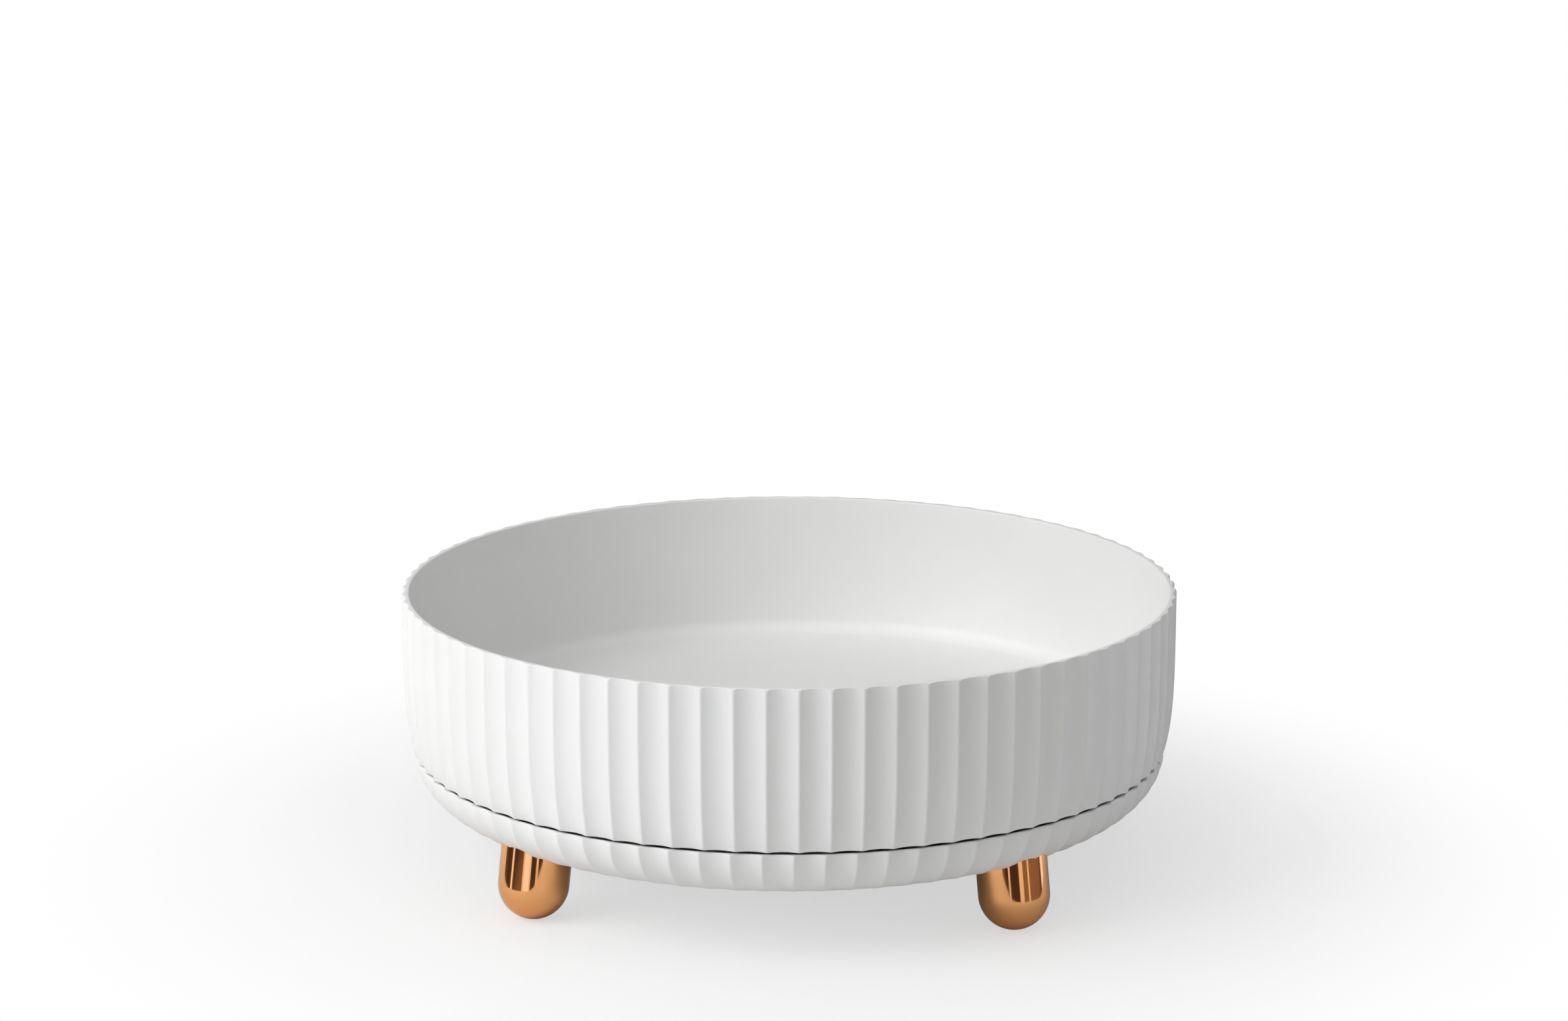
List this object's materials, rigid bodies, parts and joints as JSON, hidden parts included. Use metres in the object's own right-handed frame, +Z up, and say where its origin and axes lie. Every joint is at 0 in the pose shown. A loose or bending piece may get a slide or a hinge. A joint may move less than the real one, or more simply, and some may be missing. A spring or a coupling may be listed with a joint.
{
  "type": "rotating makeup organizer",
  "caption": "Round fluted open tray that turns on a low bowl-shaped base with plated splayed feet, for bottles and jars on a vanity.",
  "frame": {"origin": "on the surface the feet stand on, under the turning axis", "axes": "+Z up along the turning axis, front towards -Y, feet on the diagonals"},
  "size_m": [0.28, 0.28, 0.1],
  "materials": {
    "white_shell": "moulded, fine matte grain",
    "race_plastic": "moulded, smooth",
    "cage_plastic": "moulded, smooth",
    "ball_steel": "polished",
    "zinc_steel": "zinc plated",
    "rose_gold_plating": "electroplated plastic, polished"
  },
  "bodies": {
    "base": {"base_bowl": "white_shell", "lower_race_ring": "race_plastic", "lower_race_screws": "zinc_steel", "pivot_bush": "cage_plastic", "pivot_cover_cap": "white_shell", "foot_front_left": "rose_gold_plating", "foot_front_right": "rose_gold_plating", "foot_back_right": "rose_gold_plating", "foot_back_left": "rose_gold_plating", "foot_screw_front_left": "zinc_steel", "foot_screw_front_right": "zinc_steel", "foot_screw_back_right": "zinc_steel", "foot_screw_back_left": "zinc_steel"},
    "tray": {"tray_shell": "white_shell", "upper_race_ring": "race_plastic", "upper_race_screws": "zinc_steel", "pivot_screw": "zinc_steel", "pivot_washer": "zinc_steel"},
    "ball_cage": {"ball_cage": "cage_plastic", "bearing_balls": "ball_steel"}
  },
  "joints": [
    {"name": "tray_spin", "type": "hinge", "parent": "base", "child": "tray", "pos_m": [0, 0, 0.0362], "axis": [0, 0, 1], "continuous": true},
    {"name": "cage_spin", "type": "hinge", "parent": "base", "child": "ball_cage", "pos_m": [0, 0, 0.0362], "axis": [0, 0, 1], "continuous": true}
  ],
  "couplings": [
    {"joint": "cage_spin", "follows": "tray_spin", "ratio": 0.5}
  ]
}
